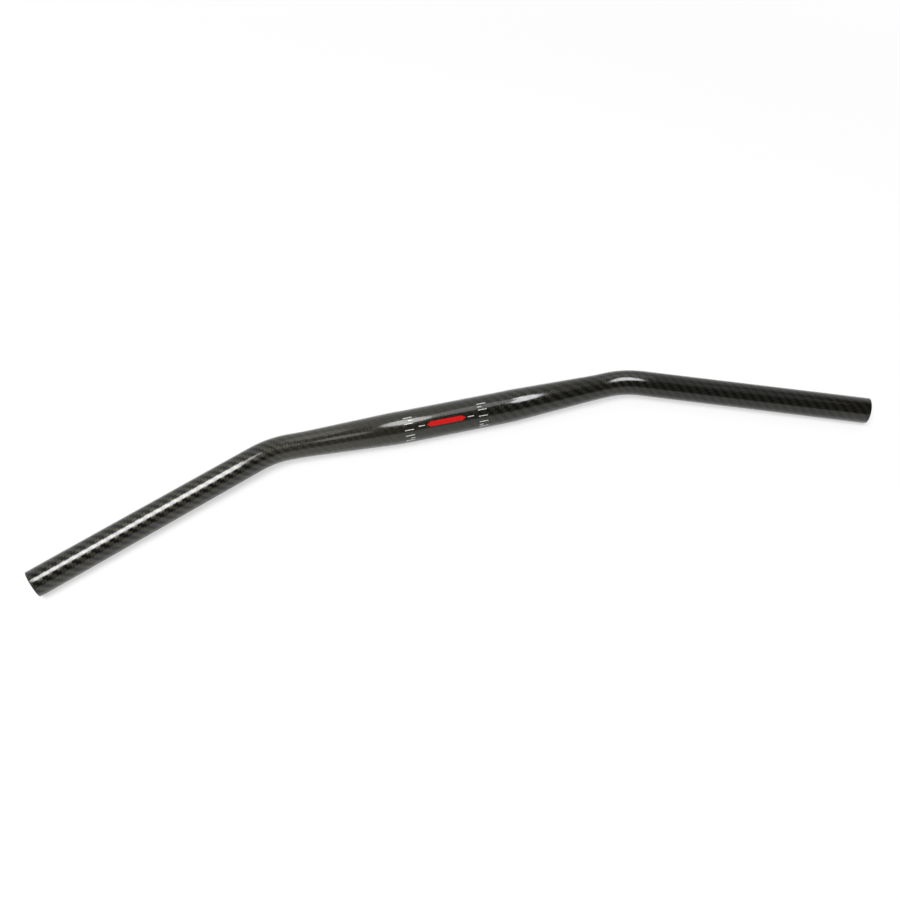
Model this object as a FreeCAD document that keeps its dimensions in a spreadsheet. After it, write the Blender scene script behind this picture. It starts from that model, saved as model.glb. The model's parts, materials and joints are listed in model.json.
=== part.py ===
import FreeCAD, Part
import math
import os
import Sketcher

# Flat, swept-back bicycle handlebar: one moulded tube with a fat clamp zone in the middle,
# a cone down to the grip diameter on each side, one bend per side and plain cut ends.
# Millimetres and degrees. X runs along the clamp axis, the grips sweep back towards -Y, Z is up.
# The origin is the centre of the clamp zone, and the bar lies as it rests on a flat surface.
SIZES = {
    "clamp_diameter": 28.6,
    "clamp_length": 76.0,
    "lean_radius": 415.0,
    "lean_angle": 1.45,
    "taper_length": 88.0,
    "taper_blend": 10.0,
    "neck_length": 7.5,
    "bend_radius": 70.0,
    "sweep_angle": 23.7,
    "grip_length": 195.0,
    "grip_diameter": 22.2,
    "wall": 2.2,
    "end_rounding": 0.6,
}
# Largest share of the wall that the rounding of one cut edge may take.
ROUNDING_SHARE = 0.4

# Numbers that a sketch gives to the points of an edge, to its own origin
# and to the first edge taken over from another sketch.
EDGE_POINTS = ("whole edge", "start", "end", "centre")
START = EDGE_POINTS.index("start")
END = EDGE_POINTS.index("end")
CENTRE = EDGE_POINTS.index("centre")
SKETCH_ORIGIN = (-1, START)
FIRST_OUTSIDE = -3

# Edges of the centre line, in the order in which they are drawn.
CLAMP_EDGES = ["Edge1", "Edge2"]
TAPER_EDGE = "Edge3"
NECK_EDGE = "Edge4"
GRIP_EDGES = ["Edge4", "Edge5", "Edge6"]

doc = FreeCAD.newDocument("handlebar")


def make_sheet():
    sheet = doc.addObject("Spreadsheet::Sheet", "sizes")
    for row, (alias, value) in enumerate(SIZES.items(), start=1):
        sheet.set(f"A{row}", alias)
        sheet.set(f"B{row}", str(value))
        sheet.setAlias(f"B{row}", alias)
    doc.recompute()
    return sheet


sizes = make_sheet()


def origin_plane(body, role):
    return next(item for item in body.Origin.OriginFeatures if item.Role == role)


def new_sketch(body, name, support, mode="FlatFace"):
    sketch = body.newObject("Sketcher::SketchObject", name)
    sketch.AttachmentSupport = [support]
    sketch.MapMode = mode
    return sketch


def tie(sketch, kind, *places):
    return sketch.addConstraint(Sketcher.Constraint(kind, *places))


def bind(sketch, name, expression, kind, *places):
    """Adds a sized constraint, which follows an expression of the sizes sheet."""
    sketch.renameConstraint(tie(sketch, kind, *places), name)
    sketch.setExpression(f"Constraints.{name}", expression)


class TangentChain:
    """Draws lines and arcs head to tail in a sketch, each tangent to the one before it."""

    def __init__(self, sketch, start, heading):
        self.sketch = sketch
        self.point = start
        self.heading = heading
        self.last = None

    def join(self, edge, near_end, far_end):
        if self.last is not None:
            tie(self.sketch, "Tangent", *self.last, edge, near_end)
        self.last = (edge, far_end)

    def line(self, length):
        target = self.point + FreeCAD.Vector(math.cos(self.heading), math.sin(self.heading)) * length
        edge = self.sketch.addGeometry(Part.LineSegment(self.point, target))
        self.join(edge, START, END)
        self.point = target
        return edge

    def arc(self, radius, turn):
        """A positive turn goes left. Arcs run anticlockwise, so a right turn starts at its far end."""
        side = math.copysign(1, turn)
        left = FreeCAD.Vector(-math.sin(self.heading), math.cos(self.heading))
        centre = self.point + left * side * radius
        begin = self.heading - side * math.pi / 2
        circle = Part.Circle(centre, FreeCAD.Vector(0, 0, 1), radius)
        edge = self.sketch.addGeometry(Part.ArcOfCircle(circle, *sorted((begin, begin + turn))))
        self.join(edge, *((START, END) if turn > 0 else (END, START)))
        self.heading += turn
        new_left = FreeCAD.Vector(-math.sin(self.heading), math.cos(self.heading))
        self.point = centre - new_left * side * radius
        return edge


def draw_centre_line(body):
    """Right half of the centre line: clamp zone, slight forward lean, taper, neck, bend and grip."""
    sketch = new_sketch(body, "centre_line", (origin_plane(body, "XY_Plane"), ""))
    lean_turn = math.radians(sizes.lean_angle)
    sweep_turn = math.radians(sizes.sweep_angle)
    chain = TangentChain(sketch, FreeCAD.Vector(), heading=0)
    clamp = chain.line(sizes.clamp_length / 2)
    lean = chain.arc(sizes.lean_radius, lean_turn)
    taper = chain.line(sizes.taper_length)
    neck = chain.line(sizes.neck_length)
    bend = chain.arc(sizes.bend_radius, -lean_turn - sweep_turn)
    grip = chain.line(sizes.grip_length)

    tie(sketch, "Coincident", clamp, START, *SKETCH_ORIGIN)
    tie(sketch, "Horizontal", clamp)
    bind(sketch, "clamp_half", "sizes.clamp_length / 2", "Distance", clamp, sizes.clamp_length / 2)
    bind(sketch, "lean_radius", "sizes.lean_radius", "Radius", lean, sizes.lean_radius)
    bind(sketch, "lean_angle", "sizes.lean_angle * 1 deg", "Angle", taper, lean_turn)
    bind(sketch, "taper_length", "sizes.taper_length", "Distance", taper, sizes.taper_length)
    bind(sketch, "neck_length", "sizes.neck_length", "Distance", neck, sizes.neck_length)
    bind(sketch, "bend_radius", "sizes.bend_radius", "Radius", bend, sizes.bend_radius)
    bind(sketch, "sweep_angle", "-sizes.sweep_angle * 1 deg", "Angle", grip, -sweep_turn)
    bind(sketch, "grip_length", "sizes.grip_length", "Distance", grip, sizes.grip_length)

    # Measured, not driven: how far the cut ends lie behind the clamp axis.
    end_setback = tie(sketch, "DistanceY", grip, END, *SKETCH_ORIGIN, -chain.point.y)
    sketch.setDriving(end_setback, False)
    sketch.renameConstraint(end_setback, "end_setback")
    return sketch


def draw_ring(body, name, support, mode, diameter):
    """Circle across the centre line, round its start on the given plane or edge."""
    sketch = new_sketch(body, name, support, mode)
    circle = sketch.addGeometry(Part.Circle(FreeCAD.Vector(), FreeCAD.Vector(0, 0, 1), sizes.grip_diameter))
    tie(sketch, "Coincident", circle, CENTRE, *SKETCH_ORIGIN)
    bind(sketch, "diameter", diameter, "Diameter", circle, sizes.grip_diameter)
    return sketch


def draw_taper(body, name, centre_line, inset):
    """Half section of the cone beside its axis, with an arc at each end that runs into the cylinder there."""
    sketch = new_sketch(body, name, (origin_plane(body, "XY_Plane"), ""))
    sketch.addExternal(centre_line.Name, TAPER_EDGE)
    axis_start, axis_end = (vertex.Point for vertex in centre_line.getSubObject(TAPER_EDGE).Vertexes)
    along = (axis_end - axis_start).normalize()
    across = FreeCAD.Vector(-along.y, along.x)
    clamp_top = axis_start + across * sizes.clamp_diameter / 2
    grip_top = axis_end + across * sizes.grip_diameter / 2
    blend = sizes.taper_blend
    slope = math.atan((sizes.clamp_diameter - sizes.grip_diameter) / 2 / (sizes.taper_length - blend))

    base = sketch.addGeometry(Part.LineSegment(axis_start, axis_end))
    clamp_side = sketch.addGeometry(Part.LineSegment(axis_start, clamp_top))
    grip_side = sketch.addGeometry(Part.LineSegment(axis_end, grip_top))
    chain = TangentChain(sketch, clamp_top, heading=math.atan2(along.y, along.x))
    clamp_arc = chain.arc(blend / math.sin(abs(slope)), -slope)
    clamp_arc_end = chain.last
    chain.line((sizes.taper_length - 2 * blend) / math.cos(slope))
    grip_arc = chain.arc(blend / math.sin(abs(slope)), slope)
    grip_arc_end = chain.last
    other_end = {START: END, END: START}
    clamp_arc_start = (clamp_arc, other_end[clamp_arc_end[1]])
    grip_arc_start = (grip_arc, other_end[grip_arc_end[1]])

    for side, axis_point, arc_point in ((clamp_side, START, clamp_arc_start), (grip_side, END, grip_arc_end)):
        tie(sketch, "Coincident", base, axis_point, FIRST_OUTSIDE, axis_point)
        tie(sketch, "Coincident", side, START, base, axis_point)
        tie(sketch, "Perpendicular", side, base)
        tie(sketch, "Coincident", side, END, *arc_point)
    tie(sketch, "PointOnObject", clamp_arc, CENTRE, clamp_side)
    tie(sketch, "PointOnObject", grip_arc, CENTRE, grip_side)
    for name, side, diameter in (("clamp_radius", clamp_side, "clamp"), ("grip_radius", grip_side, "grip")):
        radius = sizes.get(f"{diameter}_diameter") / 2
        bind(sketch, name, f"sizes.{diameter}_diameter / 2 - {inset}", "Distance", side, radius)
    bind(sketch, "clamp_blend", "sizes.taper_blend", "Distance", *clamp_arc_end, clamp_side, blend)
    bind(sketch, "grip_blend", "sizes.taper_blend", "Distance", *grip_arc_start, grip_side, blend)
    return sketch


def add_pipe(body, kind, name, ring, centre_line, edges):
    pipe = body.newObject(f"PartDesign::{kind}Pipe", name)
    pipe.Profile = ring
    pipe.Spine = (centre_line, edges)
    doc.recompute()


def add_layer(body, layer, pipe_kind, turned_kind, inset, centre_line):
    """Sweeps and turns the right half of the tube, as solid for the outside or as a cut for the bore."""
    across_clamp = (origin_plane(body, "YZ_Plane"), "")
    across_neck = (centre_line, NECK_EDGE)
    clamp_ring = draw_ring(body, f"{layer}_clamp_ring", across_clamp, "FlatFace",
                           f"sizes.clamp_diameter - 2 * {inset}")
    add_pipe(body, pipe_kind, f"{layer}_clamp", clamp_ring, centre_line, CLAMP_EDGES)

    taper = body.newObject(f"PartDesign::{turned_kind}", f"{layer}_taper")
    taper.Profile = draw_taper(body, f"{layer}_taper_profile", centre_line, inset)
    taper.ReferenceAxis = (centre_line, [TAPER_EDGE])
    taper.Angle = 360
    doc.recompute()

    grip_ring = draw_ring(body, f"{layer}_grip_ring", across_neck, "NormalToEdge",
                          f"sizes.grip_diameter - 2 * {inset}")
    add_pipe(body, pipe_kind, f"{layer}_grip", grip_ring, centre_line, GRIP_EDGES)


def mirror_half(body):
    mirrored = body.newObject("PartDesign::Mirrored", "both_halves")
    mirrored.TransformMode = "Whole shape"
    mirrored.MirrorPlane = (origin_plane(body, "YZ_Plane"), [""])
    body.Tip = mirrored
    doc.recompute()
    return mirrored


def round_cut_ends(body, tube):
    """The two cut ends are the tube's only flat faces; their outer and inner edges are broken."""
    end_faces = [face for face in tube.Shape.Faces if isinstance(face.Surface, Part.Plane)]
    end_edges = [edge for face in end_faces for edge in face.Edges]
    names = [f"Edge{number}" for number, edge in enumerate(tube.Shape.Edges, start=1)
             if any(edge.isSame(end_edge) for end_edge in end_edges)]
    fillet = body.newObject("PartDesign::Fillet", "rounded_ends")
    fillet.Base = (tube, names)
    fillet.setExpression("Radius", f"min(sizes.end_rounding; sizes.wall * {ROUNDING_SHARE})")
    body.Tip = fillet
    doc.recompute()


def lay_down(body):
    """Tips the bar about the clamp axis until both cut ends touch the surface that the clamp zone lies on."""
    body.Placement = FreeCAD.Placement(FreeCAD.Vector(), FreeCAD.Rotation(FreeCAD.Vector(1, 0, 0), 1))
    body.setExpression("Placement.Rotation.Angle", "asin((sizes.clamp_diameter - sizes.grip_diameter) / 2"
                       " * 1 mm / abs(centre_line.Constraints.end_setback))")
    doc.recompute()


def make_handlebar():
    body = doc.addObject("PartDesign::Body", "handlebar")
    body.Label = "handlebar"
    centre_line = draw_centre_line(body)
    doc.recompute()
    add_layer(body, "outside", "Additive", "Revolution", "0", centre_line)
    add_layer(body, "bore", "Subtractive", "Groove", "sizes.wall", centre_line)
    round_cut_ends(body, mirror_half(body))
    lay_down(body)
    return body


def write_step(part):
    failed = [item.Label for item in doc.Objects if "Invalid" in item.State or "Error" in item.State]
    if failed:
        raise RuntimeError(f"failed to build: {failed}")
    if part.Shape.isNull() or not part.Shape.isValid():
        raise RuntimeError(f"no valid shape: {part.Label}")
    os.makedirs("parts", exist_ok=True)
    part.Shape.exportStep(f"parts/{part.Label}.step")


write_step(make_handlebar())
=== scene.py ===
import json
import math

import bpy
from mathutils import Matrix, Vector


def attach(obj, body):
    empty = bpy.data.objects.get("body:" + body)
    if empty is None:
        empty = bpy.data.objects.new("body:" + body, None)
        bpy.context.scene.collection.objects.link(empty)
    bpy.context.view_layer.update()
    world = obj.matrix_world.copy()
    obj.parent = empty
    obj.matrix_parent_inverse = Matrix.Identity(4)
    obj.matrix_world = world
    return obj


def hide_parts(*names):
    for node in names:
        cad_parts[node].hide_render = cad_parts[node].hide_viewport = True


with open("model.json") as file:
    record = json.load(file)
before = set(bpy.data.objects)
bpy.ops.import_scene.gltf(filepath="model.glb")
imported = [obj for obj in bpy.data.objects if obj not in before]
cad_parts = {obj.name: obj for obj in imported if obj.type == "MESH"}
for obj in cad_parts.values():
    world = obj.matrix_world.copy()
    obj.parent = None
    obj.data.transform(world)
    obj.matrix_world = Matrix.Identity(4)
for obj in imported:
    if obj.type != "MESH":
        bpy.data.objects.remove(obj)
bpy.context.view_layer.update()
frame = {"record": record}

# Sizes in metres and radians. The bar is modelled flat, its right half first, and then tipped as it lies.
MOUNTS = {mount["name"]: mount for mount in frame["record"]["mounts"]}
CLAMP_ZONE = MOUNTS["clamp_zone"]["dims"]
GRIP_SEAT = MOUNTS["right_grip_seat"]["dims"]
GRIP_AXIS = MOUNTS["right_grip_seat"]["axis"]
MM = 0.001
CLAMP_RADIUS = CLAMP_ZONE["r_mm"] * MM
CLAMP_HALF = CLAMP_ZONE["length_mm"] * MM / 2
GRIP_RADIUS = GRIP_SEAT["r_mm"] * MM
WALL = GRIP_RADIUS - MOUNTS["right_end_bore"]["dims"]["r_mm"] * MM
SWEEP = math.acos(GRIP_AXIS[0])
PITCH = math.atan2(-GRIP_AXIS[2], -GRIP_AXIS[1])
LEAN = math.radians(1.45)
LEAN_RADIUS = 0.415
TAPER_LENGTH = 0.088
TAPER_BLEND = 0.010
NECK_LENGTH = 0.0075
BEND_RADIUS = 0.070
END_ROUNDING = 0.0006
GRIP_LENGTH = GRIP_SEAT["length_mm"] * MM + END_ROUNDING
FLOOR_HEIGHT = -CLAMP_RADIUS
TOUCHING = 1e-6

# Steps of the mesh, and the angle past which an edge stays sharp.
SIDES_ROUND = 96
LEAN_STEPS = 3
BLEND_STEPS = 5
CONE_STEPS = 4
BEND_STEPS = 24
GRIP_STEPS = 4
ROUNDING_STEPS = 4
SHARP_EDGE = math.radians(35)

# Corners of the centre line's right half in the bar's own plane, and how far along it each one is.
LEAN_WAY = Vector((math.cos(LEAN), math.sin(LEAN), 0))
LEAN_SIDE = Vector((-math.sin(LEAN), math.cos(LEAN), 0))
GRIP_WAY = Vector((math.cos(SWEEP), -math.sin(SWEEP), 0))
GRIP_SIDE = Vector((math.sin(SWEEP), math.cos(SWEEP), 0))
CLAMP_END = Vector((CLAMP_HALF, 0, 0))
LEAN_HUB = CLAMP_END + Vector((0, LEAN_RADIUS, 0))
TAPER_START = LEAN_HUB - LEAN_SIDE * LEAN_RADIUS
NECK_START = TAPER_START + LEAN_WAY * TAPER_LENGTH
NECK_END = NECK_START + LEAN_WAY * NECK_LENGTH
BEND_HUB = NECK_END - LEAN_SIDE * BEND_RADIUS
GRIP_START = BEND_HUB + GRIP_SIDE * BEND_RADIUS
TAPER_AT = CLAMP_HALF + LEAN_RADIUS * LEAN
NECK_AT = TAPER_AT + TAPER_LENGTH
BEND_AT = NECK_AT + NECK_LENGTH
GRIP_AT = BEND_AT + BEND_RADIUS * (LEAN + SWEEP)
END_AT = GRIP_AT + GRIP_LENGTH

# The weave: one repeat is four tows, and each tow floats over two others.
REPEAT_ALONG = 0.00775
REPEATS_ROUND = 8
TWIST_ON_TAPER = -2
TOWS_IN_REPEAT = 4
TOWS_IN_FLOAT = 2
TOW_END_HEIGHT = 0.55
FIBRES_ACROSS = 70
FIBRES_ALONG = 3
DRIFT_SCALE = 0.35
FIBRE_RELIEF = 0.12
WEAVE_RELIEF = 0.00009

# Brightness of the carbon. Each pair is the least share, and what the brightest fibre or patch adds to it.
CARBON_TINT = (1.0, 0.97, 0.72)
CARBON_DARK = 0.003
CARBON_BRIGHT = 0.040
FIBRE_SHINE = (0.55, 0.9)
DRIFT_SHINE = (0.8, 0.4)

# Roughness of the tows under the clear coat, and how much it varies from fibre to fibre.
LONG_TOW_ROUGHNESS = 0.30
HOOP_TOW_ROUGHNESS = 0.24
FIBRE_ROUGHNESS = 0.16

# Places along the bar, and the tows' painted sheen there: strongest on the left arm, weakest on the right
# one.
PAINTED_SHEEN_ALONG_BAR = [(-BEND_AT, 1.0), (0.0, 0.5), (NECK_AT, 0.5), (GRIP_AT, 0.36)]
# The hoop tows' share of the painted sheen. It leaves them dark on both arms and on the right taper.
HOOP_PAINTED_SHEEN_ALONG_BAR = [
    (-GRIP_AT, 0.1), (-NECK_AT, 0.7), (-TAPER_AT, 0.85), (0.0, 0.7), (TAPER_AT, 0.15), (GRIP_AT, 0.2)]

# Bare laminate: its brightness, and the scales and shares of its grain and clouds.
LAMINATE_DARK = 0.004
LAMINATE_BRIGHT = 0.035
LAMINATE_GRAIN = 900.0
LAMINATE_CLOUDS = 120.0
LAMINATE_GRAIN_SHARE = 0.6
LAMINATE_CLOUDS_SHARE = 0.4
LAMINATE_ROUGHNESS = (0.5, 0.25)
LAMINATE_RELIEF = 0.00005
# It starts this far below the outside, as a share of the rounding, so that the rounded rim stays carbon.
BARE_BELOW = 0.9

# The sheet for the bake, in shares of its width and height. A strip has a lower edge and a height.
SHEET_MARGIN = 0.01
SHEET_WIDTH = 0.98
STRIP_FILL = 0.94
CLAMP_STRIP = (0.01, 0.36)
LEFT_ARM_STRIP = (0.37, 0.28)
RIGHT_ARM_STRIP = (0.65, 0.28)
INSIDE_STRIP = (0.93, 0.06)
INSIDE_LENGTH = 0.48
LEFT_INSIDE_START = 0.5
CUT_FACE_SPREAD = 0.5

# Print on the clamp zone. Angles go round the clamp axis, from the front upwards.
PRINT_MIDDLE = -0.0087
PRINT_PROUD = 0.00002
PRINT_SUNK = 0.00012
MARK_HEIGHT = 0.0006
LONG_MARK = (0.0287, 0.0366)
SHORT_MARK = (0.0287, 0.0323)
LONG_MARK_ANGLES = [78.5, 56.5, 34.7, 13.5, -10.0]
SHORT_MARK_ANGLES = [67.5, 0.5]
BAND_ANGLE = math.radians(41)
BAND_HEIGHT = 0.0044
BAND_FLAT = 0.0140
BAND_POINT = 0.0172
DASH = (0.0190, 0.0245)

# Inks where they are thin and where they cover well, and the scales and shares of their clouds and grain.
WHITE_INK = ((0.58, 0.58, 0.57, 1), (0.78, 0.78, 0.76, 1))
RED_INK = ((0.44, 0.004, 0.003, 1), (0.60, 0.006, 0.005, 1))
INK_CLOUDS = 400.0
INK_GRAIN = 3000.0
INK_CLOUDS_SHARE = 0.7
INK_GRAIN_SHARE = 0.5
INK_ROUGHNESS = (0.4, 0.15)
INK_RELIEF = 0.000004

# The floor. Its glow is the share of plain white in what is seen of it.
FLOOR_SIZE = 8
FLOOR_GAP = 0.00002
FLOOR_COLOUR = 0.98
FLOOR_GLOW = 0.57
FLOOR_GLOW_IN_GLOSS = 0.05
# It glows so nearer than the first of these distances, and is plain white past the second.
FLOOR_REACH = (0.5, 1.3)

# The room, in times white. The gloss shows its stops: degrees from the front over the top, and brightness.
ROOM_LIGHT = 0.36
DIM_ROOM = 0.10
ROOM_IN_FRONT = [(0, 1.0), (4, 1.0), (13, DIM_ROOM)]
ROOM_IN_MIDDLE = ROOM_IN_FRONT + [(84, DIM_ROOM), (94, 0.7), (112, 1.0)]
ROOM_AT_SIDES = ROOM_IN_FRONT + [(95, DIM_ROOM), (111, 0.38), (132, 0.86)]
# The middle gives way to the sides while a direction points this far aside.
MIDDLE_TO_SIDES = (0.15, 0.42)

# Lights, with a place, a size, a brightness in times white, and a turn and a shape where they need one.
SOFTBOX_PLACE = Vector((-1.6, -1.6, 4.6))
SOFTBOX_SIZE = (2.75, 2.75)
SOFTBOX_LIGHT = 10.0
STRIP_COLOUR = (1.0, 1.0, 1.04)
ALONG_LEFT_ARM = (0, math.radians(5.5), SWEEP)
ALONG_RIGHT_ARM = (0, 0, -SWEEP)
STRIPS = [
    ("left_arm_strip", (-0.2678, -0.0758, 0.0922), (0.222, 0.049), 19.0, ALONG_LEFT_ARM, "RECTANGLE"),
    ("left_bend_strip", (-0.1665, -0.0195, 0.055), (0.016, 0.018), 8.0),
    ("left_taper_strip", (-0.109, -0.056, 0.080), (0.060, 0.036), 2.6),
    ("left_taper_back_strip", (-0.125, 0.020, 0.080), (0.060, 0.050), 0.9),
    ("left_clamp_strip", (-0.040, -0.017, 0.080), (0.056, 0.044), 10.5),
    ("right_clamp_strip", (0.028, -0.011, 0.080), (0.095, 0.040), 2.6),
    ("right_taper_strip", (0.0835, -0.0165, 0.080), (0.040, 0.050), 17.0),
    ("right_neck_strip", (0.130, -0.004, 0.080), (0.060, 0.050), 0.5),
    ("right_bend_strip", (0.1675, -0.0140, 0.057), (0.012, 0.030), 17.0),
    ("right_bend_back_strip", (0.1835, 0.033, 0.080), (0.050, 0.060), 0.8),
    ("right_arm_strip", (0.275, -0.057, 0.080), (0.200, 0.046), 0.35, ALONG_RIGHT_ARM)]

# The camera: its place, its turn in degrees, and its lens and film in millimetres.
CAMERA_PLACE = (-0.09926, -0.46843, 0.54411)
CAMERA_TURN = (39.048, 1.535, -13.332)
CAMERA_LENS = 32.927
CAMERA_FILM = 36
CAMERA_NEAREST = 0.01

# Inputs of the Mix node that share their names with others: the share and the two colours.
MIX_SHARE = 0
MIX_FIRST = 6
MIX_SECOND = 7


def taper_radius(distance):
    """Radius of the cone at a distance from its clamp end, with an arc at each end."""
    drop = CLAMP_RADIUS - GRIP_RADIUS
    slope = math.atan(drop / (TAPER_LENGTH - TAPER_BLEND))
    arc = TAPER_BLEND / math.sin(slope)
    from_grip = TAPER_LENGTH - distance
    if distance < TAPER_BLEND:
        return CLAMP_RADIUS - arc + math.sqrt(arc ** 2 - distance ** 2)
    if from_grip < TAPER_BLEND:
        return GRIP_RADIUS + arc - math.sqrt(arc ** 2 - from_grip ** 2)
    return CLAMP_RADIUS - arc * (1 - math.cos(slope)) - (distance - TAPER_BLEND) * math.tan(slope)


def taper_stations():
    """Distances of the rings from the cone's clamp end, closer together in its two arcs."""
    blend = [TAPER_BLEND * (step + 1) / BLEND_STEPS for step in range(BLEND_STEPS)]
    cone_length = TAPER_LENGTH - 2 * TAPER_BLEND
    cone = [TAPER_BLEND + cone_length * (step + 1) / CONE_STEPS for step in range(CONE_STEPS)]
    return blend + cone + [TAPER_LENGTH - TAPER_BLEND + distance for distance in blend]


def deselect_objects():
    for each in bpy.context.selected_objects:
        each.select_set(False)


def select_only(piece):
    deselect_objects()
    piece.select_set(True)
    bpy.context.view_layer.objects.active = piece


def edit_all():
    bpy.ops.object.mode_set(mode="EDIT")
    bpy.ops.mesh.select_all(action="SELECT")


def leave_edit():
    bpy.ops.object.mode_set(mode="OBJECT")


def clear_selection(select_by):
    """Deselects the whole mesh, ready for points or edges to be selected in code."""
    bpy.ops.object.mode_set(mode="EDIT")
    bpy.ops.mesh.select_mode(type=select_by)
    bpy.ops.mesh.select_all(action="DESELECT")
    leave_edit()


def extrude_by(step):
    bpy.ops.mesh.extrude_region_move(TRANSFORM_OT_translate={"value": step})


def turn_about(axis, angle, centre):
    """A right-handed turn of what is selected. Without a window the operator turns the other way."""
    bpy.ops.transform.rotate(value=-angle, orient_axis=axis, orient_type="GLOBAL", center_override=centre)


def spin_about(axis, angle, centre, steps):
    """Draws the selected edges out along an arc, right-handed about the axis."""
    bpy.ops.mesh.spin(steps=steps, angle=-angle, center=centre, axis=axis)


def apply_modifier(piece, kind, **settings):
    modifier = piece.modifiers.new(kind.title(), kind)
    for name, value in settings.items():
        setattr(modifier, name, value)
    bpy.ops.object.modifier_apply(modifier=modifier.name)


def centre_line_place(point):
    """Distance along the centre line, distance from it and the angle round it, from the front upwards."""
    flat = Vector((abs(point.x), point.y, 0))
    on_lean = flat - LEAN_HUB
    on_taper = (flat - TAPER_START).dot(LEAN_WAY)
    on_bend = flat - BEND_HUB
    lean_turn = math.atan2(on_lean.x, -on_lean.y)
    bend_turn = math.atan2(on_bend.x, on_bend.y)
    if flat.x <= CLAMP_HALF:
        along, side = flat.x, flat.y
    elif lean_turn < LEAN:
        along, side = CLAMP_HALF + LEAN_RADIUS * lean_turn, LEAN_RADIUS - on_lean.length
    elif on_taper < TAPER_LENGTH + NECK_LENGTH:
        along, side = TAPER_AT + on_taper, (flat - TAPER_START).dot(LEAN_SIDE)
    elif bend_turn < SWEEP:
        along, side = BEND_AT + BEND_RADIUS * (bend_turn + LEAN), on_bend.length - BEND_RADIUS
    else:
        along, side = GRIP_AT + (flat - GRIP_START).dot(GRIP_WAY), (flat - GRIP_START).dot(GRIP_SIDE)
    return along, math.hypot(side, point.z), math.atan2(point.z, -side)


def on_cut_end(first, second):
    """Tells whether an edge between two points runs round a cut end, on the outer or the inner ring."""
    ends = [centre_line_place(point) for point in (first, second)]
    same_ring = abs(ends[0][1] - ends[1][1]) < WALL / 2
    return same_ring and all(abs(along - END_AT) < TOUCHING for along, _, _ in ends)


def round_cut_ends(tube):
    clear_selection("EDGE")
    points = [vertex.co for vertex in tube.data.vertices]
    for edge in tube.data.edges:
        edge.select = on_cut_end(*(points[index] for index in edge.vertices))
    bpy.ops.object.mode_set(mode="EDIT")
    bpy.ops.mesh.bevel(offset=END_ROUNDING, segments=ROUNDING_STEPS, affect="EDGES")
    leave_edit()


def make_tube():
    """One ring drawn out along the centre line, mirrored, given its wall and rounded at the cut ends."""
    deselect_objects()
    bpy.ops.mesh.primitive_circle_add(vertices=SIDES_ROUND, radius=CLAMP_RADIUS, rotation=(0, math.pi / 2, 0))
    tube = bpy.context.object
    tube.name = "handlebar_tube"
    bpy.ops.object.transform_apply(location=True, rotation=True, scale=True)
    edit_all()
    extrude_by(CLAMP_END)
    spin_about((0, 0, 1), LEAN, LEAN_HUB, LEAN_STEPS)
    last = 0
    for distance in taper_stations():
        extrude_by(LEAN_WAY * (distance - last))
        share = taper_radius(distance) / taper_radius(last)
        ring_centre = TAPER_START + LEAN_WAY * distance
        bpy.ops.transform.resize(value=(share, share, share), center_override=ring_centre)
        last = distance
    extrude_by(LEAN_WAY * NECK_LENGTH)
    spin_about((0, 0, 1), -LEAN - SWEEP, BEND_HUB, BEND_STEPS)
    for step in range(GRIP_STEPS):
        extrude_by(GRIP_WAY * GRIP_LENGTH / GRIP_STEPS)
    leave_edit()
    apply_modifier(tube, "MIRROR", use_axis=(True, False, False), merge_threshold=TOUCHING)
    edit_all()
    bpy.ops.mesh.remove_doubles(threshold=TOUCHING)
    bpy.ops.mesh.normals_make_consistent(inside=False)
    leave_edit()
    apply_modifier(tube, "SOLIDIFY", thickness=WALL, offset=-1, use_even_offset=True, use_rim=True)
    round_cut_ends(tube)
    return tube


def lay_finishes(tube):
    """Carbon on the outside and its rounded rims, bare laminate on the cut faces and the inside."""
    tube.data.materials.append(make_carbon_finish())
    tube.data.materials.append(make_cut_finish())
    for face in tube.data.polygons:
        places = [centre_line_place(tube.data.vertices[index].co) for index in face.vertices]
        outer_radius = taper_radius(min(max(places[0][0] - TAPER_AT, 0), TAPER_LENGTH))
        bare = max(off for _, off, _ in places) < outer_radius - END_ROUNDING * BARE_BELOW
        face.material_index = 1 if bare else 0


def smooth_share(value, low, high):
    share = min(max((value - low) / (high - low), 0), 1)
    return share * share * (3 - 2 * share)


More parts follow.
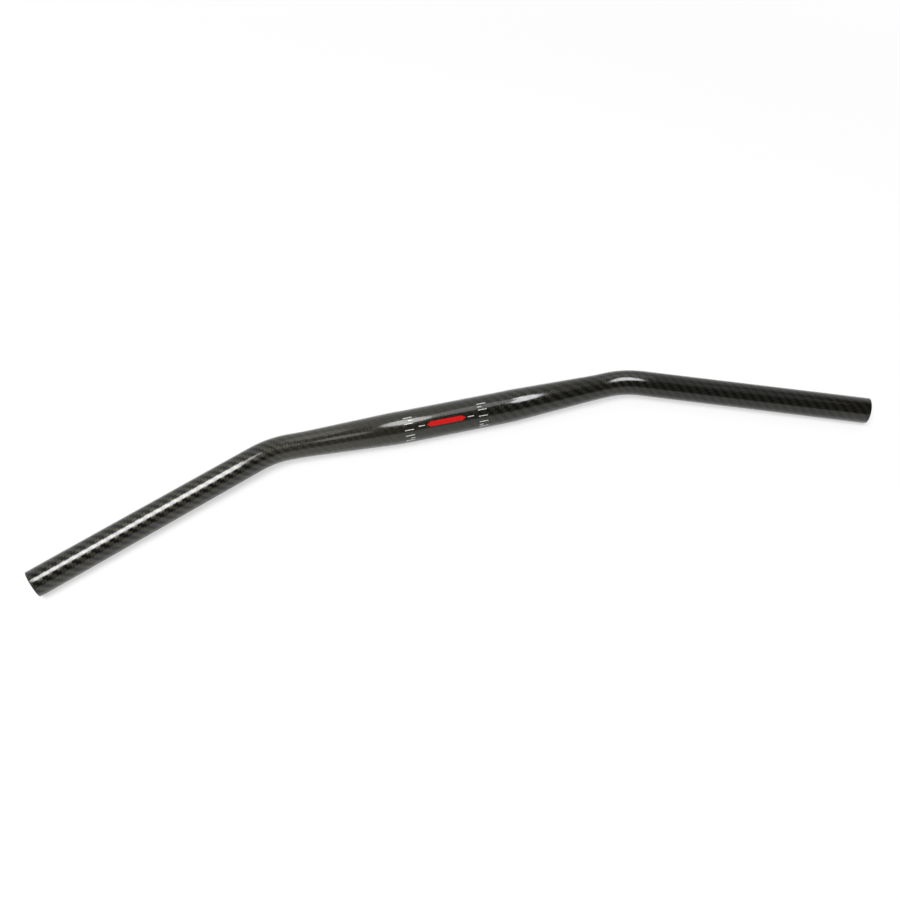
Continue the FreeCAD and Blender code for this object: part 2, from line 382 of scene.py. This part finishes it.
def lay_weave(tube):
    """Unrolls the tube for the weave, in repeats along and round it, and for the bake, in four strips."""
    mesh = tube.data
    weave = mesh.uv_layers.new(name="weave")
    sheet = mesh.uv_layers.new(name="OFBake")
    places = [centre_line_place(vertex.co) for vertex in mesh.vertices]
    strip_length = 2 * NECK_AT
    full_turn = 2 * math.pi
    for face in mesh.polygons:
        loops = list(face.loop_indices)
        around = [places[mesh.loops[loop].vertex_index][2] for loop in loops]
        if max(around) - min(around) > math.pi:
            around = [angle + full_turn if angle < 0 else angle for angle in around]
        left = face.center.x < 0
        outer = face.material_index == 0
        on_clamp_strip = all(places[mesh.loops[loop].vertex_index][0] <= NECK_AT + TOUCHING for loop in loops)
        for loop, angle in zip(loops, around):
            along, off, _ = places[mesh.loops[loop].vertex_index]
            signed = -along if left else along
            twist = TWIST_ON_TAPER * smooth_share(along, TAPER_AT, NECK_AT)
            weave.data[loop].uv = (signed / REPEAT_ALONG, REPEATS_ROUND * angle / full_turn + twist)
            turn = (angle + math.pi) / full_turn * STRIP_FILL
            if not outer:
                cut_face = (WALL - abs(off - GRIP_RADIUS + WALL)) * CUT_FACE_SPREAD
                across = (along + cut_face) / END_AT * INSIDE_LENGTH + (LEFT_INSIDE_START if left else 0)
                strip = INSIDE_STRIP
            elif on_clamp_strip:
                across = SHEET_WIDTH * (0.5 + signed / strip_length)
                strip = CLAMP_STRIP
            else:
                across = SHEET_WIDTH * (along - NECK_AT) / strip_length
                strip = LEFT_ARM_STRIP if left else RIGHT_ARM_STRIP
            sheet.data[loop].uv = (SHEET_MARGIN + across, strip[0] + turn * strip[1])
    weave.active = True
    weave.active_render = True


def tip_as_it_lies(tube):
    select_only(tube)
    edit_all()
    turn_about("X", PITCH, (0, 0, 0))
    leave_edit()


def patch_of_print(name, low, high, height, points=0.0):
    """A thin patch that lies on the clamp zone's front, drawn round the clamp axis in four steps."""
    radius = CLAMP_RADIUS + PRINT_PROUD
    length = high - low
    middle = (low + high) / 2
    deselect_objects()
    bpy.ops.mesh.primitive_plane_add(size=length, location=(middle, -radius - length / 2, 0))
    patch = bpy.context.object
    patch.name = name
    bpy.ops.object.transform_apply(location=True, rotation=True, scale=True)
    clear_selection("VERT")
    for vertex in patch.data.vertices:
        vertex.select = vertex.co.y < -radius - length / 2
    bpy.ops.object.mode_set(mode="EDIT")
    bpy.ops.mesh.delete(type="VERT")
    bpy.ops.mesh.select_all(action="SELECT")
    span = height / CLAMP_RADIUS
    turn_about("X", span / 2, (0, 0, 0))
    widths = [1, 1 + points, 1 + 2 * points, 1 + points, 1]
    steps = len(widths) - 1
    for before, after in zip(widths, widths[1:]):
        spin_about((1, 0, 0), -span / steps, (0, 0, 0), 1)
        bpy.ops.transform.resize(value=(after / before, 1, 1), center_override=(middle, 0, 0))
    bpy.ops.mesh.select_all(action="SELECT")
    bpy.ops.mesh.normals_make_consistent(inside=False)
    leave_edit()
    if patch.data.polygons[0].normal.y > 0:
        edit_all()
        bpy.ops.mesh.flip_normals()
        leave_edit()
    apply_modifier(patch, "SOLIDIFY", thickness=PRINT_PROUD + PRINT_SUNK, offset=-1)
    return patch


def turned_copy(piece, angle):
    """A copy with its own mesh, moved round the clamp axis by an angle upwards."""
    select_only(piece)
    bpy.ops.object.duplicate(linked=False)
    copy = bpy.context.object
    edit_all()
    turn_about("X", -angle, (0, 0, 0))
    leave_edit()
    return copy


def join_pieces(name, pieces):
    select_only(pieces[0])
    for piece in pieces:
        piece.select_set(True)
    bpy.ops.object.join()
    pieces[0].name = name
    return pieces[0]


def move_to_print_middle(piece):
    edit_all()
    bpy.ops.transform.translate(value=(PRINT_MIDDLE, 0, 0))
    leave_edit()


def make_alignment_marks():
    """Two columns of marks that show how far the bar is turned in its clamp, and a dash beside the band."""
    long_mark = patch_of_print("long_mark", *LONG_MARK, MARK_HEIGHT)
    short_mark = patch_of_print("short_mark", *SHORT_MARK, MARK_HEIGHT)
    dash = patch_of_print("dash", *DASH, MARK_HEIGHT)
    copies = [turned_copy(long_mark, math.radians(angle)) for angle in LONG_MARK_ANGLES]
    copies += [turned_copy(short_mark, math.radians(angle)) for angle in SHORT_MARK_ANGLES]
    copies += [turned_copy(dash, BAND_ANGLE)]
    for pattern in (long_mark, short_mark, dash):
        bpy.data.objects.remove(pattern)
    marks = join_pieces("alignment_marks", copies)
    apply_modifier(marks, "MIRROR", use_axis=(True, False, False), use_mirror_merge=False)
    move_to_print_middle(marks)
    return marks


def make_centre_band():
    """One slim band with pointed ends in the middle of the print."""
    points = (BAND_POINT / BAND_FLAT - 1) / 2
    flat = patch_of_print("band_pattern", -BAND_FLAT, BAND_FLAT, BAND_HEIGHT, points)
    band = turned_copy(flat, BAND_ANGLE)
    bpy.data.objects.remove(flat)
    band.name = "centre_band"
    move_to_print_middle(band)
    return band


class Shade:
    """A number, colour or vector in a finish's nodes. Arithmetic on it adds Math nodes."""

    def __init__(self, nodes, socket):
        self.nodes = nodes
        self.socket = socket

    def __add__(self, other):
        return self.nodes.maths("ADD", self, other)

    def __sub__(self, other):
        return self.nodes.maths("SUBTRACT", self, other)

    def __rsub__(self, other):
        return self.nodes.maths("SUBTRACT", other, self)

    def __mul__(self, other):
        return self.nodes.maths("MULTIPLY", self, other)

    def __truediv__(self, other):
        return self.nodes.maths("DIVIDE", self, other)

    def __rtruediv__(self, other):
        return self.nodes.maths("DIVIDE", other, self)

    def __mod__(self, other):
        return self.nodes.maths("FLOORED_MODULO", self, other)

    def __rmod__(self, other):
        return self.nodes.maths("FLOORED_MODULO", other, self)

    def __gt__(self, other):
        return self.nodes.maths("GREATER_THAN", self, other)

    def __lt__(self, other):
        return self.nodes.maths("LESS_THAN", self, other)

    def __abs__(self):
        return self.nodes.maths("ABSOLUTE", self)

    __radd__ = __add__
    __rmul__ = __mul__

    def floor(self):
        return self.nodes.maths("FLOOR", self)

    def pick(self, low, high):
        """The first value where this is 0, the second where it is 1."""
        return (1 - self) * low + self * high


class Nodes:
    """The nodes of one finish, or of the room."""

    def __init__(self, owner):
        owner.use_nodes = True
        self.tree = owner.node_tree
        self.tree.nodes.clear()

    def add(self, kind, settings=None, sockets=None):
        """Adds a node, sets it up, fills or links its sockets and gives its outputs by name."""
        node = self.tree.nodes.new(kind)
        for name, value in (settings or {}).items():
            if name == "stops":
                self.set_stops(node.color_ramp, value)
            else:
                setattr(node, name, value)
        for name, value in (sockets or {}).items():
            if isinstance(value, Shade):
                self.tree.links.new(value.socket, node.inputs[name])
            else:
                node.inputs[name].default_value = value
        return {socket.name: Shade(self, socket) for socket in node.outputs if socket.enabled}

    @staticmethod
    def set_stops(ramp, stops):
        while len(ramp.elements) < len(stops):
            ramp.elements.new(1)
        for element, (position, colour) in zip(ramp.elements, stops):
            element.position = position
            element.color = colour

    def maths(self, operation, *values):
        return self.add("ShaderNodeMath", {"operation": operation}, dict(enumerate(values)))["Value"]

    def place(self):
        return self.add("ShaderNodeTexCoord")["Object"]

    def noise(self, vector, scale, detail=2):
        sockets = {"Vector": vector, "Scale": scale, "Detail": detail}
        return self.add("ShaderNodeTexNoise", {}, sockets)["Fac"]

    def between(self, share, first, second):
        """A colour between two colours."""
        sockets = {MIX_SHARE: share, MIX_FIRST: first, MIX_SECOND: second}
        return self.add("ShaderNodeMix", {"data_type": "RGBA"}, sockets)["Result"]

    def vector(self, x, y):
        return self.add("ShaderNodeCombineXYZ", {}, {"X": x, "Y": y})["Vector"]

    def smooth(self, value, low, high, at_low=0.0, at_high=1.0):
        """A value that goes smoothly from one number to another while this one goes from low to high."""
        return self.add("ShaderNodeMapRange", {"interpolation_type": "SMOOTHSTEP"}, {
            "Value": value, "From Min": low, "From Max": high, "To Min": at_low, "To Max": at_high})["Result"]

    def along_bar(self, repeat_along, stops):
        """A value that goes smoothly from stop to stop: places along the bar and the values there."""
        total = stops[0][1]
        for (start, before), (end, after) in zip(stops, stops[1:]):
            total = total + self.smooth(
                repeat_along, start / REPEAT_ALONG, end / REPEAT_ALONG, 0.0, after - before)
        return total

    def bump(self, height, distance):
        sockets = {"Height": height, "Distance": distance, "Strength": 1.0}
        return self.add("ShaderNodeBump", {}, sockets)["Normal"]

    def surface(self, **sockets):
        named = {name.replace("_", " "): value for name, value in sockets.items()}
        shader = self.add("ShaderNodeBsdfPrincipled", {}, named)["BSDF"]
        self.add("ShaderNodeOutputMaterial", {}, {"Surface": shader})


def grey(value):
    return (value, value, value, 1.0)


def carbon_grey(value):
    """Carbon is a very slightly olive grey."""
    return tuple(value * part for part in CARBON_TINT) + (1.0,)


def arch(share):
    """Rises from 0 to 1 in the middle of the share, and falls to 0 again."""
    return 4 * share * (1 - share)


def tow_height(across, along_float):
    """A tow is rounded across, and arched along the stretch where it floats on top."""
    return arch(across) * (TOW_END_HEIGHT + (1 - TOW_END_HEIGHT) * arch(along_float))


def make_carbon_finish():
    """Black two-by-two twill under a smooth clear coat, with a painted sheen on its tows that changes along
    the bar.
    """
    finish = bpy.data.materials.new("carbon_twill_under_clear_coat")
    nodes = Nodes(finish)
    unrolled = nodes.add("ShaderNodeUVMap", {"uv_map": "weave"})["UV"]
    parts = nodes.add("ShaderNodeSeparateXYZ", {}, {"Vector": unrolled})
    repeat_along = parts["X"]
    repeat_round = parts["Y"]
    along = repeat_along * TOWS_IN_REPEAT
    around = repeat_round * TOWS_IN_REPEAT
    hoop_tow = along.floor()
    long_tow = around.floor()
    across_hoop = along - hoop_tow
    across_long = around - long_tow

    # The floats step on by one tow from each tow to the next, which gives the slanting lines of the twill.
    step = (hoop_tow + long_tow) % TOWS_IN_REPEAT
    hoop_on_top = step > TOWS_IN_FLOAT - 0.5
    long_float = (step + across_hoop) / TOWS_IN_FLOAT
    hoop_float = (step - TOWS_IN_FLOAT + across_long) / TOWS_IN_FLOAT
    height = hoop_on_top.pick(tow_height(across_long, long_float), tow_height(across_hoop, hoop_float))

    # Fine fibres run along each tow, and the brightness drifts a little from place to place.
    long_fibres = nodes.noise(nodes.vector(repeat_along * FIBRES_ALONG, repeat_round * FIBRES_ACROSS), 1.0)
    hoop_fibres = nodes.noise(nodes.vector(repeat_along * FIBRES_ACROSS, repeat_round * FIBRES_ALONG), 1.0)
    fibres = hoop_on_top.pick(long_fibres, hoop_fibres)
    drift = nodes.noise(nodes.vector(repeat_along, repeat_round), DRIFT_SCALE)
    # Painted sheen: the tows' colour is lighter where the lights catch them, most on the left arm, on top of
    # the weave's own pattern.
    painted_sheen = nodes.along_bar(repeat_along, PAINTED_SHEEN_ALONG_BAR)
    hoop_painted_sheen = nodes.along_bar(repeat_along, HOOP_PAINTED_SHEEN_ALONG_BAR)
    tow_pattern_and_painted_sheen = painted_sheen * hoop_on_top.pick(1.0, hoop_painted_sheen)
    fibre_shine = FIBRE_SHINE[0] + FIBRE_SHINE[1] * fibres
    brightness = tow_pattern_and_painted_sheen * fibre_shine * (DRIFT_SHINE[0] + DRIFT_SHINE[1] * drift)
    tow_roughness = hoop_on_top.pick(LONG_TOW_ROUGHNESS, HOOP_TOW_ROUGHNESS)
    nodes.surface(
        Base_Color=nodes.between(brightness, carbon_grey(CARBON_DARK), carbon_grey(CARBON_BRIGHT)),
        Metallic=0.5, Roughness=tow_roughness + FIBRE_ROUGHNESS * (fibres - 0.5), Specular_IOR_Level=0.0,
        Coat_Weight=1.0, Coat_Roughness=0.14, Coat_IOR=1.45,
        Normal=nodes.bump(height + FIBRE_RELIEF * fibres, WEAVE_RELIEF))
    return finish


def make_cut_finish():
    """Bare laminate of the sawn ends and the moulded inside: dull and nearly black, with a fine grain."""
    finish = bpy.data.materials.new("bare_cut_laminate")
    nodes = Nodes(finish)
    place = nodes.place()
    grain = nodes.noise(place, LAMINATE_GRAIN, 4)
    clouds = nodes.noise(place, LAMINATE_CLOUDS, 3)
    brightness = LAMINATE_GRAIN_SHARE * grain + LAMINATE_CLOUDS_SHARE * clouds
    nodes.surface(
        Base_Color=nodes.between(brightness, carbon_grey(LAMINATE_DARK), carbon_grey(LAMINATE_BRIGHT)),
        Roughness=LAMINATE_ROUGHNESS[0] + LAMINATE_ROUGHNESS[1] * grain,
        Normal=nodes.bump(grain, LAMINATE_RELIEF))
    return finish


def make_print_finish(name, thin, full):
    """Ink under the clear coat, with the slight clouds and grain of a screen print."""
    finish = bpy.data.materials.new(name)
    nodes = Nodes(finish)
    place = nodes.place()
    clouds = nodes.noise(place, INK_CLOUDS, 3)
    grain = nodes.noise(place, INK_GRAIN)
    cover = INK_CLOUDS_SHARE * clouds + INK_GRAIN_SHARE * grain
    nodes.surface(
        Base_Color=nodes.between(cover, thin, full),
        Roughness=INK_ROUGHNESS[0] + INK_ROUGHNESS[1] * grain, Specular_IOR_Level=0.1,
        Coat_Weight=1.0, Coat_Roughness=0.08, Coat_IOR=1.5,
        Normal=nodes.bump(grain, INK_RELIEF))
    return finish


def make_floor():
    """A white floor just under the bar, which keeps the bar's shadow."""
    deselect_objects()
    bpy.ops.mesh.primitive_plane_add(size=FLOOR_SIZE, location=(0, 0, 0))
    floor = bpy.context.object
    floor.name = "floor"
    edit_all()
    bpy.ops.transform.translate(value=(0, 0, FLOOR_HEIGHT - FLOOR_GAP))
    leave_edit()
    finish = bpy.data.materials.new("white_floor")
    nodes = Nodes(finish)
    ray = nodes.add("ShaderNodeLightPath")
    reflected = nodes.maths("MAXIMUM", ray["Is Glossy Ray"], ray["Is Transmission Ray"])
    distance = nodes.add("ShaderNodeVectorMath", {"operation": "LENGTH"}, {0: nodes.place()})["Value"]
    glow = nodes.smooth(distance, *FLOOR_REACH, FLOOR_GLOW, 1.0)
    glow_share = ray["Is Camera Ray"] * glow + reflected * FLOOR_GLOW_IN_GLOSS
    lit = nodes.add("ShaderNodeBsdfDiffuse", {}, {"Color": grey(FLOOR_COLOUR)})["BSDF"]
    white = nodes.add("ShaderNodeEmission", {}, {"Color": grey(1.0), "Strength": 1.0})["Emission"]
    mixed = nodes.add("ShaderNodeMixShader", {}, {0: glow_share, 1: lit, 2: white})["Shader"]
    nodes.add("ShaderNodeOutputMaterial", {}, {"Surface": mixed})
    floor.data.materials.append(finish)


def make_room():
    """The camera sees white, and the room's own light is even. The gloss shows a white horizon in front,
    a dim room above it, and a wall behind that is white in the middle and darker at the sides."""
    world = bpy.data.worlds.new("studio")
    bpy.context.scene.world = world
    nodes = Nodes(world)
    way = nodes.add("ShaderNodeTexCoord")["Generated"]
    parts = nodes.add("ShaderNodeSeparateXYZ", {}, {"Vector": way})
    turn = nodes.maths("ARCTAN2", parts["Z"], 0 - parts["Y"]) / math.pi

    def over_the_top(room):
        stops = [(angle / 180, grey(value)) for angle, value in room]
        return nodes.add("ShaderNodeValToRGB", {"stops": stops}, {"Fac": turn})["Color"]

    side_share = nodes.smooth(abs(parts["X"]), *MIDDLE_TO_SIDES)
    seen_in_gloss = nodes.between(side_share, over_the_top(ROOM_IN_MIDDLE), over_the_top(ROOM_AT_SIDES))
    ray = nodes.add("ShaderNodeLightPath")
    room = nodes.between(ray["Is Glossy Ray"], grey(ROOM_LIGHT), seen_in_gloss)
    colour = nodes.between(ray["Is Camera Ray"], room, grey(1.0))
    shade = nodes.add("ShaderNodeBackground", {}, {"Color": colour, "Strength": 1.0})["Background"]
    nodes.add("ShaderNodeOutputWorld", {}, {"Surface": shade})


def add_softbox(name, place, size, brightness, turn=(0, 0, 0), shape="ELLIPSE"):
    """A soft light that faces down before its turn. Its brightness is in times white."""
    light = bpy.data.lights.new(name, "AREA")
    light.shape = shape
    light.size, light.size_y = size
    area = size[0] * size[1] * (math.pi / 4 if shape == "ELLIPSE" else 1)
    light.energy = brightness * math.pi * area
    lamp = bpy.data.objects.new(name, light)
    bpy.context.scene.collection.objects.link(lamp)
    lamp.location = place
    lamp.rotation_euler = turn
    lamp.visible_camera = False
    return lamp


def light_studio():
    """One large softbox overhead, which the gloss doesn't show, and low strips that only the gloss shows."""
    facing_bar = (-SOFTBOX_PLACE).to_track_quat("-Z", "Y").to_euler()
    softbox = add_softbox(
        "overhead_softbox", SOFTBOX_PLACE, SOFTBOX_SIZE, SOFTBOX_LIGHT, facing_bar, "RECTANGLE")
    softbox.visible_glossy = False
    for row in STRIPS:
        strip = add_softbox(*row)
        strip.visible_diffuse = False
        strip.data.color = STRIP_COLOUR


def set_camera():
    camera = bpy.data.cameras.new("camera")
    camera.sensor_width = CAMERA_FILM
    camera.lens = CAMERA_LENS
    camera.clip_start = CAMERA_NEAREST
    holder = bpy.data.objects.new("camera", camera)
    bpy.context.scene.collection.objects.link(holder)
    holder.location = CAMERA_PLACE
    holder.rotation_euler = [math.radians(angle) for angle in CAMERA_TURN]
    bpy.context.scene.camera = holder


tube = make_tube()
lay_finishes(tube)
lay_weave(tube)
tip_as_it_lies(tube)
bpy.ops.object.shade_smooth_by_angle(angle=SHARP_EDGE)
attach(tube, "root")
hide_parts("handlebar")

marks = make_alignment_marks()
marks.data.materials.append(make_print_finish("white_ink", *WHITE_INK))
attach(marks, "root")

band = make_centre_band()
band.data.materials.append(make_print_finish("red_ink", *RED_INK))
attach(band, "root")

make_floor()
make_room()
light_studio()
set_camera()
bpy.context.scene.view_settings.view_transform = "Standard"
